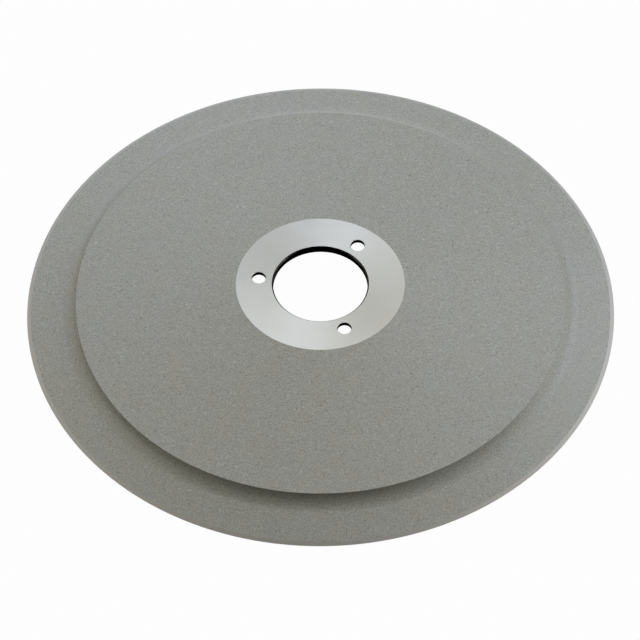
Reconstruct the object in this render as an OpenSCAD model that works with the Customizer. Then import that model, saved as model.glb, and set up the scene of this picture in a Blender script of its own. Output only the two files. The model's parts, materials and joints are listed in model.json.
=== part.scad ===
// Dished steel disc with a coated face and a coated back.
// The disc lies on its rim: z = 0 is the rim plane and +Z points to the hub seat.

/* [Disc] */
// Outer diameter at the rim edge
disc_d = 250; // [248:0.5:254]
// Height of the hub seat above the rim plane
disc_h = 17.5; // [16.5:0.25:18.5]
// Thickness of the conical web, measured square to it
web_t = 2.5; // [2.2:0.1:2.9]

/* [Cup] */
// Diameter of the edge where the web ends and the step begins
cup_d = 208; // [206:0.5:210]
// Height of that edge above the rim plane
cup_h = 8.1; // [7.8:0.1:8.6]
// Slope of the step just below the edge, in degrees
step_slope = 58; // [54:1:62]
// Thickness of the step, measured square to it
step_t = 2.6; // [2.4:0.1:2.8]
// Rounding of the edge on the face
edge_r = 0.3; // [0.25:0.05:0.6]
// Rounding of the corner inside the cup
cup_inner_r = 2; // [1:0.25:2.25]
// Rounding where the step turns into the land on the back
back_fold_r = 5; // [3:0.5:5.5]

/* [Rim] */
// Slope of the outer land on the face, in degrees
land_slope = 12; // [10:0.5:13]
// Slope of the back of the land, in degrees
back_slope = 6; // [4:0.5:7]
// Width of the bare ground bevel, measured along the radius
bevel_w = 1.6; // [1.2:0.1:2.4]
// Height of the ground bevel
bevel_h = 0.7; // [0.6:0.05:0.8]
// Height of the blunt edge left on the rim
edge_t = 0.1; // [0.05:0.01:0.15]
// Width of the bare ground strip on the back, measured along the radius
back_bare_w = 8; // [6:0.5:12]

/* [Hub] */
// Diameter of the bore
bore_d = 40; // [36:0.5:42]
// Width and depth of the bore chamfer on the face
bore_chamfer = 0.6; // [0.3:0.1:0.8]
// Width and depth of the bore chamfer on the back
back_chamfer = 0.4; // [0.2:0.1:0.6]
// Diameter of the bare turned seat around the bore
seat_d = 71.6; // [66:0.2:76]
// Thickness of the hub
hub_t = 3.6; // [3.2:0.1:3.8]

/* [Fixing holes] */
// Number of fixing holes
hole_count = 3; // [2:1:6]
// Pitch circle diameter of the fixing holes
hole_pcd = 52.6; // [52:0.1:54]
// Diameter of a fixing hole
hole_d = 6; // [5.4:0.1:6.4]
// Direction of the first fixing hole, in degrees from +X
first_hole_angle = 52.4; // [0:0.2:119.8]
// Edge break of a fixing hole on the face
hole_break = 0.12; // [0.05:0.01:0.2]
// Diameter of the countersink at the back of the hub
sink_d = 9.6; // [8.8:0.1:10.4]

/* [Coating] */
// Thickness of the granular top coat
top_coat_t = 0.1; // [0.08:0.01:0.12]
// Thickness of the bond coat under it
bond_coat_t = 0.1; // [0.08:0.01:0.12]

/* [Hidden] */
$fn = 240;

steel_colour = [0.80, 0.81, 0.82];
bond_coat_colour = [0.40, 0.41, 0.39];
top_coat_colour = [0.56, 0.57, 0.545];

// Largest turn between two neighbouring points of a round stretch, in degrees
arc_step = 3;
// How far a cutting tool runs past the face that it cuts
overcut = 1;

rim_r = disc_d / 2;
cup_r = cup_d / 2;
bore_r = bore_d / 2;
seat_r = seat_d / 2;
hole_r = hole_d / 2;
coat_t = top_coat_t + bond_coat_t;
web_slope = atan((disc_h - cup_h) / (cup_r - seat_r));

// An outline is a list of stations [point, slope]. A point is [radius, height], and a slope is
// in degrees below the horizontal, going outwards.
function up(slope) = [sin(slope), cos(slope)];
function fall(slope) = [cos(slope), -sin(slope)];

// The corner where a line through p with slope a meets a line through q with slope b
function meet(p, a, q, b) =
    p + fall(a) * ((q - p) * up(b)) / (fall(a) * up(b));

// Stations along the arc of radius r that rounds the corner between slopes a and b.
// r is positive where the centre lies below the outline and negative where it lies above.
function round_off(corner, a, b, r) =
    let (
        centre = corner - r * (up(a) + up(b)) / (1 + up(a) * up(b)),
        steps = ceil(abs(b - a) / arc_step)
    )
    [for (i = [0 : steps]) let (s = a + (b - a) * i / steps) [centre + r * up(s), s]];

// The points of an outline moved upwards, square to it, by d
function lifted(outline, d) = [for (s = outline) s[0] + d * up(s[1])];
function reversed(list) = [for (i = [len(list) - 1 : -1 : 0]) list[i]];

// Face of the coated front: web, rounded edge, step, land
seat_edge = [seat_r, disc_h];
cup_edge = [cup_r, cup_h];
bevel_edge = [rim_r - bevel_w, edge_t + bevel_h];
step_foot = meet(cup_edge, step_slope, bevel_edge, land_slope);
// The hollow radius below the edge takes up the whole step
step_fall = norm(step_foot - cup_edge) - edge_r * tan((step_slope - web_slope) / 2);
step_r = step_fall / tan((step_slope - land_slope) / 2);
front_face = concat(
    [[seat_edge, web_slope]],
    round_off(cup_edge, web_slope, step_slope, edge_r),
    round_off(step_foot, step_slope, land_slope, -step_r),
    [[bevel_edge, land_slope]]
);

// Face of the coated back: inside of the cup, fold, back of the land
hub_back_h = disc_h - hub_t;
rim_edge = [rim_r, 0];
web_back = seat_edge - web_t * up(web_slope);
step_back = cup_edge - step_t * up(step_slope);
hub_back_edge = meet([0, hub_back_h], 0, web_back, web_slope);
cup_corner = meet(web_back, web_slope, step_back, step_slope);
back_foot = meet(step_back, step_slope, rim_edge, back_slope);
back_coat_edge = meet(rim_edge, back_slope, rim_edge - [back_bare_w, 0], 90);
rear_face = concat(
    [[hub_back_edge, web_slope]],
    round_off(cup_corner, web_slope, step_slope, cup_inner_r),
    round_off(back_foot, step_slope, back_slope, -back_fold_r),
    [[back_coat_edge, back_slope]]
);

// A coat between two depths, which are measured into the disc and so are negative on the front
module coat(face, from_depth, to_depth) {
    rotate_extrude()
        polygon(concat(lifted(face, from_depth), reversed(lifted(face, to_depth))));
}

// Everything that is turned or ground, with a recess for the coats on the face and on the back
module turned_blank() {
    rotate_extrude()
        polygon(concat(
            [[bore_r, disc_h - bore_chamfer], [bore_r + bore_chamfer, disc_h], seat_edge],
            lifted(front_face, -coat_t),
            [bevel_edge, [rim_r, edge_t], rim_edge, back_coat_edge],
            reversed(lifted(rear_face, coat_t)),
            [hub_back_edge, [bore_r + back_chamfer, hub_back_h], [bore_r, hub_back_h + back_chamfer]]
        ));
}

// One fixing hole with its edge break on the face and its countersink at the back
module fixing_hole() {
    sink_depth = sink_d / 2 - hole_r;
    translate([0, 0, hub_back_h - overcut])
        cylinder(h = hub_t + 2 * overcut, r = hole_r);
    translate([0, 0, hub_back_h - overcut])
        cylinder(h = sink_depth + overcut, r1 = sink_d / 2 + overcut, r2 = hole_r);
    translate([0, 0, disc_h - hole_break])
        cylinder(h = overcut, r1 = hole_r, r2 = hole_r + overcut);
}

module steel_disc() {
    color(steel_colour)
        difference() {
            turned_blank();
            for (i = [0 : hole_count - 1])
                rotate([0, 0, first_hole_angle + i * 360 / hole_count])
                    translate([hole_pcd / 2, 0, 0])
                        fixing_hole();
        }
}

module front_bond_coat() {
    color(bond_coat_colour) coat(front_face, -top_coat_t, -coat_t);
}

module front_top_coat() {
    color(top_coat_colour) coat(front_face, 0, -top_coat_t);
}

module rear_bond_coat() {
    color(bond_coat_colour) coat(rear_face, top_coat_t, coat_t);
}

module rear_top_coat() {
    color(top_coat_colour) coat(rear_face, 0, top_coat_t);
}

steel_disc();
front_bond_coat();
front_top_coat();
rear_bond_coat();
rear_top_coat();
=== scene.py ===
import json
import math

import bpy
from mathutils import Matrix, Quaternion, Vector


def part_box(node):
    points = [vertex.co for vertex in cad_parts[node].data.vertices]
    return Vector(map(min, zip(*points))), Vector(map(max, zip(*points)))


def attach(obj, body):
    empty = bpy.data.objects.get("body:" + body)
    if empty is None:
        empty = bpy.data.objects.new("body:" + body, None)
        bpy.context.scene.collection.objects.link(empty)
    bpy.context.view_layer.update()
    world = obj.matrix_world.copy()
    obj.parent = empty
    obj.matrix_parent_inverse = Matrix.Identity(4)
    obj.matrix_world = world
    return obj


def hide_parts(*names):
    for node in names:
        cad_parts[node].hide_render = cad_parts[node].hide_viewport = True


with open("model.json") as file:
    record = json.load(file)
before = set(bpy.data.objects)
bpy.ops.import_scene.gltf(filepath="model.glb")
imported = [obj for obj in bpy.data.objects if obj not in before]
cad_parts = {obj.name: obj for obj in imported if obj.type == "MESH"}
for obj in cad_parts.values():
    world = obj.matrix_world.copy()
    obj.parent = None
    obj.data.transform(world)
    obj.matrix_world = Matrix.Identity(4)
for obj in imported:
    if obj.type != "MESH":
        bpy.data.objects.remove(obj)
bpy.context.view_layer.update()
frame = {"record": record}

MM = 0.001
BODY = "root"

# --- sizes -------------------------------------------------------------------------------------
MOUNTS = {m["name"]: m for m in frame["record"]["mounts"]}
DISC_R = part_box("steel_disc")[1].x
BEVEL_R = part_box("front_top_coat")[1].x
BACK_COAT_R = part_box("rear_top_coat")[1].x
SEAT_Z = MOUNTS["hub_seat"]["pos_m"][2]
HUB_BACK_Z = MOUNTS["hub_back"]["pos_m"][2]
BORE_R = MOUNTS["bore"]["dims"]["r_mm"] * MM
BORE_TOP_Z = MOUNTS["bore"]["pos_m"][2] + MOUNTS["bore"]["dims"]["length_mm"] * MM / 2
BORE_LOW_Z = MOUNTS["bore"]["pos_m"][2] - MOUNTS["bore"]["dims"]["length_mm"] * MM / 2
HOLES = MOUNTS["fixing_holes"]["dims"]
HOLE_R = HOLES["hole_r_mm"] * MM
FIRST_HOLE_ANGLE = math.radians(52.4)
HOLE_BREAK = 0.12 * MM
SINK_R = 4.8 * MM
SEAT_R = 35.8 * MM
CUP_R = 104 * MM
CUP_Z = 8.1 * MM
BEVEL_Z = 0.8 * MM
EDGE_Z = 0.1 * MM
WEB_T = 2.5 * MM
STEP_T = 2.6 * MM
STEP_SLOPE = math.radians(58)
LAND_SLOPE = math.radians(12)
BACK_SLOPE = math.radians(6)
CUP_EDGE_R = 0.3 * MM
CUP_INNER_R = 2 * MM
BACK_FOLD_R = 5 * MM
TOP_COAT_T = 0.1 * MM
COAT_T = 0.2 * MM

AROUND = 480
AROUND_HOLE = 96
ARC_STEP = math.radians(2)
SHARP_ANGLE = math.radians(6)
OVERCUT = 1 * MM
# A turned mesh has no points on the axis itself, so a solid tool starts this far off it.
AXIS_R = 0.00001 * MM


# --- outlines ----------------------------------------------------------------------------------
# A station is (radius, height, slope), and a slope is in radians below the horizontal, outwards.
def up(slope):
    return Vector((math.sin(slope), math.cos(slope)))


def fall(slope):
    return Vector((math.cos(slope), -math.sin(slope)))


def meet(p, a, q, b):
    """The corner where a line through p with slope a meets a line through q with slope b."""
    return p + fall(a) * ((q - p).dot(up(b)) / fall(a).dot(up(b)))


def station(point, slope):
    return (point.x, point.y, slope)


def round_off(corner, a, b, radius):
    """Stations that round a corner. A positive radius has its centre below the outline."""
    centre = corner - (up(a) + up(b)) * (radius / (1 + up(a).dot(up(b))))
    steps = math.ceil(abs(b - a) / ARC_STEP)
    slopes = [a + (b - a) * i / steps for i in range(steps + 1)]
    return [station(centre + up(s) * radius, s) for s in slopes]


def lifted(outline, d):
    """The outline moved upwards by d, square to itself."""
    return [(r + d * math.sin(s), z + d * math.cos(s), s) for r, z, s in outline]


SEAT_EDGE = Vector((SEAT_R, SEAT_Z))
CUP_EDGE = Vector((CUP_R, CUP_Z))
BEVEL_EDGE = Vector((BEVEL_R, BEVEL_Z))
RIM_EDGE = Vector((DISC_R, 0))
WEB_SLOPE = math.atan((SEAT_Z - CUP_Z) / (CUP_R - SEAT_R))


def front_face():
    foot = meet(CUP_EDGE, STEP_SLOPE, BEVEL_EDGE, LAND_SLOPE)
    straight = (foot - CUP_EDGE).length - CUP_EDGE_R * math.tan((STEP_SLOPE - WEB_SLOPE) / 2)
    step_r = straight / math.tan((STEP_SLOPE - LAND_SLOPE) / 2)
    return (
        [station(SEAT_EDGE, WEB_SLOPE)]
        + round_off(CUP_EDGE, WEB_SLOPE, STEP_SLOPE, CUP_EDGE_R)
        + round_off(foot, STEP_SLOPE, LAND_SLOPE, -step_r)
        + [station(BEVEL_EDGE, LAND_SLOPE)]
    )


def rear_face():
    web_back = SEAT_EDGE - up(WEB_SLOPE) * WEB_T
    step_back = CUP_EDGE - up(STEP_SLOPE) * STEP_T
    hub_edge = meet(Vector((0, HUB_BACK_Z)), 0, web_back, WEB_SLOPE)
    cup_corner = meet(web_back, WEB_SLOPE, step_back, STEP_SLOPE)
    foot = meet(step_back, STEP_SLOPE, RIM_EDGE, BACK_SLOPE)
    coat_edge = RIM_EDGE - fall(BACK_SLOPE) * ((DISC_R - BACK_COAT_R) / math.cos(BACK_SLOPE))
    return (
        [station(hub_edge, WEB_SLOPE)]
        + round_off(cup_corner, WEB_SLOPE, STEP_SLOPE, CUP_INNER_R)
        + round_off(foot, STEP_SLOPE, BACK_SLOPE, -BACK_FOLD_R)
        + [station(coat_edge, BACK_SLOPE)]
    )


# --- mesh making -------------------------------------------------------------------------------
def turned(name, corners, around=AROUND):
    """A closed mesh turned about Z. A corner is (radius, height, zone of the band that follows)."""
    verts, faces, zones = [], [], []
    count = len(corners)
    for i in range(around):
        a = 2 * math.pi * i / around
        verts += [(r * math.cos(a), r * math.sin(a), z) for r, z, _ in corners]
    for i in range(around):
        near, far = i * count, (i + 1) % around * count
        for k in range(count):
            n = (k + 1) % count
            faces.append((near + k, near + n, far + n, far + k))
            zones.append(corners[k][2])
    mesh = bpy.data.meshes.new(name)
    mesh.from_pydata(verts, [], faces)
    mesh.polygons.foreach_set("material_index", zones)
    mesh.polygons.foreach_set("use_smooth", [True] * len(faces))
    obj = bpy.data.objects.new(name, mesh)
    bpy.context.scene.collection.objects.link(obj)
    return obj


def coat_skin(name, face, upper_d, lower_d):
    """One coat between two offsets of a face, with the normals of the true turned shape."""
    upper, lower = lifted(face, upper_d), lifted(face, lower_d)[::-1]
    corners = [(r, z, 0) for r, z, _ in upper + lower]
    obj = turned(name, corners)
    slopes = [(s, 1) for _, _, s in upper] + [(s, -1) for _, _, s in lower]
    smooth_bands = set(range(len(upper) - 1)) | set(range(len(upper), len(corners) - 1))
    set_true_normals(obj, slopes, smooth_bands)
    return obj


def set_true_normals(obj, slopes, smooth_bands):
    """Gives each corner the normal of its station, and leaves the two narrow end bands flat."""
    mesh, count = obj.data, len(slopes)
    normals = []
    for face in mesh.polygons:
        band = face.index % count
        for corner in face.loop_indices:
            vertex = mesh.loops[corner].vertex_index
            if band not in smooth_bands:
                normals.append(face.normal.copy())
                continue
            slope, side = slopes[vertex % count]
            a = 2 * math.pi * (vertex // count) / AROUND
            n = up(slope) * side
            normals.append(Vector((n.x * math.cos(a), n.x * math.sin(a), n.y)))
    mesh.normals_split_custom_set(normals)


def cut(obj, tool):
    """Takes the tool's shape out of obj. The tool's faces keep their own zone numbers."""
    mod = obj.modifiers.new("cut", "BOOLEAN")
    mod.operation, mod.solver, mod.object = "DIFFERENCE", "EXACT", tool
    bpy.context.view_layer.objects.active = obj
    bpy.ops.object.modifier_apply(modifier=mod.name)
    bpy.data.meshes.remove(tool.data)


# The zones of the steel, which are also its material numbers.
SEAT, GROUND, WALL = range(3)


def hole_tool(index):
    """The shape of one fixing hole: edge break, plain wall and countersink."""
    sink_h = SINK_R - HOLE_R
    corners = [
        (AXIS_R, SEAT_Z - HOLE_BREAK + OVERCUT, WALL),
        (HOLE_R + OVERCUT, SEAT_Z - HOLE_BREAK + OVERCUT, SEAT),
        (HOLE_R, SEAT_Z - HOLE_BREAK, WALL),
        (HOLE_R, HUB_BACK_Z + sink_h, WALL),
        (SINK_R + OVERCUT, HUB_BACK_Z - OVERCUT, WALL),
        (AXIS_R, HUB_BACK_Z - OVERCUT, WALL),
    ]
    tool = turned(f"hole_tool_{index}", corners, AROUND_HOLE)
    angle = FIRST_HOLE_ANGLE + index * 2 * math.pi / HOLES["count"]
    reach = HOLES["pcd_mm"] * MM / 2
    tool.location = (reach * math.cos(angle), reach * math.sin(angle), 0)
    return tool


def disc_piece():
    """The steel: bright seat, bore painted dark as shade, ground rim, and recesses that the coats
    lie in.
    """
    chamfer, back_chamfer = SEAT_Z - BORE_TOP_Z, BORE_LOW_Z - HUB_BACK_Z
    front = [(r, z, GROUND) for r, z, _ in lifted(front_face(), -COAT_T)]
    back = [(r, z, GROUND) for r, z, _ in lifted(rear_face(), COAT_T)[::-1]]
    hub_edge, coat_edge = rear_face()[0], rear_face()[-1]
    corners = (
        [(BORE_R, BORE_TOP_Z, WALL), (BORE_R + chamfer, SEAT_Z, SEAT), (SEAT_R, SEAT_Z, GROUND)]
        + front
        + [(BEVEL_R, BEVEL_Z, GROUND), (DISC_R, EDGE_Z, GROUND), (DISC_R, 0, GROUND)]
        + [(coat_edge[0], coat_edge[1], GROUND)]
        + back
        + [(hub_edge[0], hub_edge[1], SEAT), (BORE_R + back_chamfer, HUB_BACK_Z, WALL)]
        + [(BORE_R, BORE_LOW_Z, WALL)]
    )
    disc = turned("turned_disc", corners)
    for i in range(HOLES["count"]):
        cut(disc, hole_tool(i))
    disc.data.set_sharp_from_angle(angle=SHARP_ANGLE)
    return disc


# --- materials ---------------------------------------------------------------------------------
class Nodes:
    """Short names for making a node material."""

    def __init__(self, name):
        self.material = bpy.data.materials.new(name)
        self.material.use_nodes = True
        self.tree = self.material.node_tree
        self.shader = self.tree.nodes["Principled BSDF"]
        self.place = self.add("ShaderNodeTexCoord").outputs["Object"]

    def add(self, kind, **settings):
        node = self.tree.nodes.new(kind)
        for key, value in settings.items():
            setattr(node, key, value)
        return node

    def link(self, source, target):
        self.tree.links.new(source, target)

    def noise(self, grain, detail=2.0, roughness=0.5):
        """Noise between 0 and 1 with grains of about the given size in metres."""
        node = self.add("ShaderNodeTexNoise")
        node.inputs["Scale"].default_value = 1 / grain
        node.inputs["Detail"].default_value = detail
        node.inputs["Roughness"].default_value = roughness
        self.link(self.place, node.inputs["Vector"])
        return node.outputs["Fac"]

    def ramp(self, source, low, high, start=0.35, end=0.65):
        """Turns a number into a colour between two others."""
        node = self.add("ShaderNodeValToRGB")
        first, last = node.color_ramp.elements
        first.position, last.position = start, end
        first.color, last.color = (*low, 1), (*high, 1)
        self.link(source, node.inputs["Fac"])
        return node.outputs["Color"]

    def grit(self, grain):
        """A factor that is 1 over most grains, and lower or higher over a few of them."""
        cells = self.add("ShaderNodeTexVoronoi")
        cells.inputs["Scale"].default_value = 1 / grain
        self.link(self.place, cells.inputs["Vector"])
        node = self.add("ShaderNodeValToRGB")
        node.color_ramp.elements[0].color = (0.55, 0.55, 0.54, 1)
        for position in (0.15, 0.85):
            node.color_ramp.elements.new(position).color = (1, 1, 1, 1)
        node.color_ramp.elements[-1].color = (1.45, 1.45, 1.45, 1)
        self.link(cells.outputs["Color"], node.inputs["Fac"])
        return node.outputs["Color"]

    def spread(self, source, low, high, start=0.35, end=0.65):
        """Turns a number into one between two others."""
        node = self.add("ShaderNodeMapRange")
        for key, value in zip(("From Min", "From Max", "To Min", "To Max"), (start, end, low, high)):
            node.inputs[key].default_value = value
        self.link(source, node.inputs["Value"])
        return node.outputs["Result"]

    def multiply(self, a, b):
        node = self.add("ShaderNodeMix", data_type="RGBA", blend_type="MULTIPLY")
        node.inputs["Factor"].default_value = 1.0
        self.link(a, node.inputs["A"])
        self.link(b, node.inputs["B"])
        return node.outputs["Result"]

    def bump(self, height, distance):
        node = self.add("ShaderNodeBump")
        node.inputs["Distance"].default_value = distance
        node.inputs["Strength"].default_value = 1.0
        self.link(height, node.inputs["Height"])
        return node.outputs["Normal"]

    def finish(self, **values):
        """Sets shader inputs: a number or colour directly, anything else as a link."""
        for key, value in values.items():
            socket = self.shader.inputs[key.replace("_", " ")]
            if isinstance(value, bpy.types.NodeSocket):
                self.link(value, socket)
            else:
                socket.default_value = value
        return self.material


def granular_coat(name, dark, light, grain=0.65 * MM):
    """Satin coat: fine grains, a few pale and dark ones, and faint olive and grey patches."""
    n = Nodes(name)
    grains = n.ramp(n.noise(grain, 3.0, 0.7), dark, light, 0.34, 0.66)
    patches = n.ramp(n.noise(11 * MM, 2.0), (1.0, 0.99, 0.955), (0.985, 1.0, 1.0))
    colour = n.multiply(n.multiply(grains, patches), n.grit(grain))
    fine = n.bump(n.noise(0.6 * grain, 2.0, 0.6), 0.03 * MM)
    return n.finish(
        Base_Color=colour,
        Roughness=n.spread(n.noise(grain, 2.0), 0.40, 0.48),
        Normal=fine,
        Specular_IOR_Level=0.6,
    )


def bond_coat(name):
    """Dull grey undercoat, which only its thin edges show."""
    n = Nodes(name)
    colour = n.ramp(n.noise(0.4 * MM, 2.0), (0.12, 0.125, 0.115), (0.16, 0.165, 0.15))
    return n.finish(Base_Color=colour, Roughness=0.8, Normal=n.bump(n.noise(0.3 * MM), 0.02 * MM))


def turned_steel(name, tint, roughness, anisotropy, groove=0.18 * MM):
    """Bright steel with fine rings left by the turning tool."""
    n = Nodes(name)
    split = n.add("ShaderNodeSeparateXYZ")
    n.link(n.place, split.inputs["Vector"])
    flat = n.add("ShaderNodeCombineXYZ")
    n.link(split.outputs["X"], flat.inputs["X"])
    n.link(split.outputs["Y"], flat.inputs["Y"])
    length = n.add("ShaderNodeVectorMath", operation="LENGTH")
    n.link(flat.outputs["Vector"], length.inputs[0])
    rings = n.add("ShaderNodeTexNoise", noise_dimensions="1D")
    rings.inputs["Scale"].default_value = 1 / groove
    rings.inputs["Detail"].default_value = 2.0
    n.link(length.outputs["Value"], rings.inputs["W"])
    bright = n.ramp(rings.outputs["Fac"], [c * 0.94 for c in tint], tint)
    smudge = n.ramp(n.noise(9 * MM, 2.0), (0.97, 0.97, 0.97), (1.0, 1.0, 1.0))
    tangent = n.add("ShaderNodeTangent", direction_type="RADIAL", axis="Z")
    return n.finish(
        Base_Color=n.multiply(bright, smudge),
        Metallic=1.0,
        Roughness=n.spread(rings.outputs["Fac"], roughness - 0.04, roughness + 0.04),
        Anisotropic=anisotropy,
        Tangent=tangent.outputs["Tangent"],
        Normal=n.bump(rings.outputs["Fac"], 0.002 * MM),
    )


def ground_steel(name, tint):
    """Satin steel with the fine crossing scratches of a grinding wheel."""
    n = Nodes(name)
    scratches = n.noise(0.3 * MM, 3.0, 0.65)
    colour = n.ramp(scratches, [c * 0.9 for c in tint], [c * 1.1 for c in tint])
    return n.finish(
        Base_Color=colour,
        Metallic=0.68,
        Roughness=n.spread(scratches, 0.6, 0.7),
        Normal=n.bump(scratches, 0.005 * MM),
    )


def shade_dark_bore_steel(name):
    """Smooth steel of the bore and the holes, with its colour painted nearly black as painted shade
    for the shadowed hollow under the disc that it mirrors.
    """
    n = Nodes(name)
    # Painted shade: this near-black colour stands in for the dark shadowed space that the glossy
    # wall reflects.
    colour = n.ramp(n.noise(2 * MM, 3.0), (0.022, 0.022, 0.023), (0.038, 0.038, 0.039))
    return n.finish(
        Base_Color=colour,
        Metallic=1.0,
        Roughness=n.spread(n.noise(1.5 * MM, 2.0), 0.2, 0.3),
        Normal=n.bump(n.noise(0.5 * MM), 0.004 * MM),
    )


# --- pieces ------------------------------------------------------------------------------------
COAT_DARK = (0.235, 0.240, 0.218)
COAT_LIGHT = (0.400, 0.408, 0.373)
SEAT_TINT = (0.482, 0.493, 0.476)
GROUND_TINT = (0.45, 0.44, 0.41)


def place(obj, node, slot, *materials):
    for material in materials:
        obj.data.materials.append(material)
    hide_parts(node)
    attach(obj, BODY)


def make_pieces():
    top = granular_coat("granular_top_coat", COAT_DARK, COAT_LIGHT)
    bond = bond_coat("bond_coat")
    seat = turned_steel("turned_seat", SEAT_TINT, roughness=0.32, anisotropy=0.6)
    ground = ground_steel("ground_rim", GROUND_TINT)
    front, rear = front_face(), rear_face()
    place(disc_piece(), "steel_disc", "turned_steel", seat, ground, shade_dark_bore_steel("bore_wall_painted_shade"))
    place(coat_skin("front_coat", front, 0, -TOP_COAT_T), "front_top_coat", "top_coat", top)
    place(coat_skin("front_bond", front, -TOP_COAT_T, -COAT_T), "front_bond_coat", "bond_coat", bond)
    place(coat_skin("rear_coat", rear, TOP_COAT_T, 0), "rear_top_coat", "top_coat", top)
    place(coat_skin("rear_bond", rear, COAT_T, TOP_COAT_T), "rear_bond_coat", "bond_coat", bond)


# --- stage -------------------------------------------------------------------------------------
EYE_DISTANCE = 2.2549
EYE_ELEVATION = math.radians(51.288)
EYE_ROLL = math.radians(-0.42)
LENS_MM = 298.1
SENSOR_MM = 36
SIGHT = (0.1, 30)
AIM = Vector((-0.00027, -0.00573, 0.0))
FLOOR_R = 7.9
BACKDROP_R = 8.0
STAGE_WHITE = (0.985, 0.985, 0.985, 1)


def add_camera():
    data = bpy.data.cameras.new("camera")
    data.sensor_width, data.lens = SENSOR_MM, LENS_MM
    data.clip_start, data.clip_end = SIGHT
    camera = bpy.data.objects.new("camera", data)
    back = Vector((0, -math.cos(EYE_ELEVATION), math.sin(EYE_ELEVATION)))
    camera.location = AIM + back * EYE_DISTANCE
    camera.rotation_mode = "QUATERNION"
    roll = Quaternion((0, 0, 1), EYE_ROLL)
    camera.rotation_quaternion = (-back).to_track_quat("-Z", "Y") @ roll
    bpy.context.scene.collection.objects.link(camera)
    bpy.context.scene.camera = camera


def glowing(name):
    material = bpy.data.materials.new(name)
    material.use_nodes = True
    tree = material.node_tree
    tree.nodes.clear()
    glow = tree.nodes.new("ShaderNodeEmission")
    glow.inputs["Color"].default_value = STAGE_WHITE
    out = tree.nodes.new("ShaderNodeOutputMaterial")
    tree.links.new(glow.outputs["Emission"], out.inputs["Surface"])
    return material


def seen_only_by_camera(obj):
    obj.visible_diffuse = obj.visible_glossy = obj.visible_transmission = False
    obj.visible_shadow = obj.visible_volume_scatter = False


def add_stage():
    white = glowing("stage_white")
    bpy.ops.mesh.primitive_circle_add(vertices=96, radius=FLOOR_R, fill_type="NGON")
    floor = bpy.context.object
    bpy.ops.mesh.primitive_uv_sphere_add(segments=48, ring_count=24, radius=BACKDROP_R)
    backdrop = bpy.context.object
    for obj, name in ((floor, "floor"), (backdrop, "backdrop")):
        obj.name = name
        obj.data.materials.append(white)
        seen_only_by_camera(obj)


COOL = (0.71, 0.79, 1.0)
WARM = (1.0, 0.946, 0.816)
WHITE = (1.0, 1.0, 1.0)
# Softboxes: azimuth from +X towards +Y, elevation, brightness and tint. The two below the
# horizon stand for the glow of a white floor, which reaches the steep faces.
SOFTBOXES = {
    "right_low": (0, 12, 1.45, WARM),
    "right": (0, 38, 1.89, WARM),
    "right_back": (36, 38, 4.31, COOL),
    "top_right": (60, 62, 1.68, WARM),
    "back_low": (90, 12, 0.57, COOL),
    "back": (108, 38, 1.25, COOL),
    "back_left_low": (120, 12, 1.20, COOL),
    "top_left": (120, 62, 1.06, WARM),
    "left_back": (144, 38, 0.42, WARM),
    "left_back_low": (150, 12, 0.90, WARM),
    "left": (180, 38, 2.30, WARM),
    "floor_behind": (90, -8, 0.85, WHITE),
    "floor_right": (16, -9, 1.6, WHITE),
}
# Cards that only bright steel mirrors, for views from behind.
CARDS = {
    "card_front_left": (225, 15, 0.4, WHITE),
    "card_front_right": (315, 15, 0.4, WHITE),
}
SOFTBOX_SIZE = 0.9
SOFTBOX_DISTANCE = 1.6


def add_softbox(name, azimuth, elevation, brightness, tint):
    light = bpy.data.lights.new(name, "AREA")
    light.color = tint
    light.shape, light.size = "SQUARE", SOFTBOX_SIZE
    light.energy = brightness * SOFTBOX_SIZE**2 * math.pi
    a, e = math.radians(azimuth), math.radians(elevation)
    away = Vector((math.cos(a) * math.cos(e), math.sin(a) * math.cos(e), math.sin(e)))
    obj = bpy.data.objects.new(name, light)
    obj.location = away * SOFTBOX_DISTANCE
    obj.rotation_mode = "QUATERNION"
    obj.rotation_quaternion = (-away).to_track_quat("-Z", "Y")
    bpy.context.scene.collection.objects.link(obj)
    return obj


def add_light():
    for name, values in SOFTBOXES.items():
        add_softbox(name, *values)
    for name, values in CARDS.items():
        add_softbox(name, *values).visible_diffuse = False
    world = bpy.data.worlds.new("studio")
    world.use_nodes = True
    world.node_tree.nodes["Background"].inputs["Strength"].default_value = 0.0
    bpy.context.scene.world = world
    bpy.context.scene.view_settings.view_transform = "Standard"


make_pieces()
add_stage()
add_light()
add_camera()
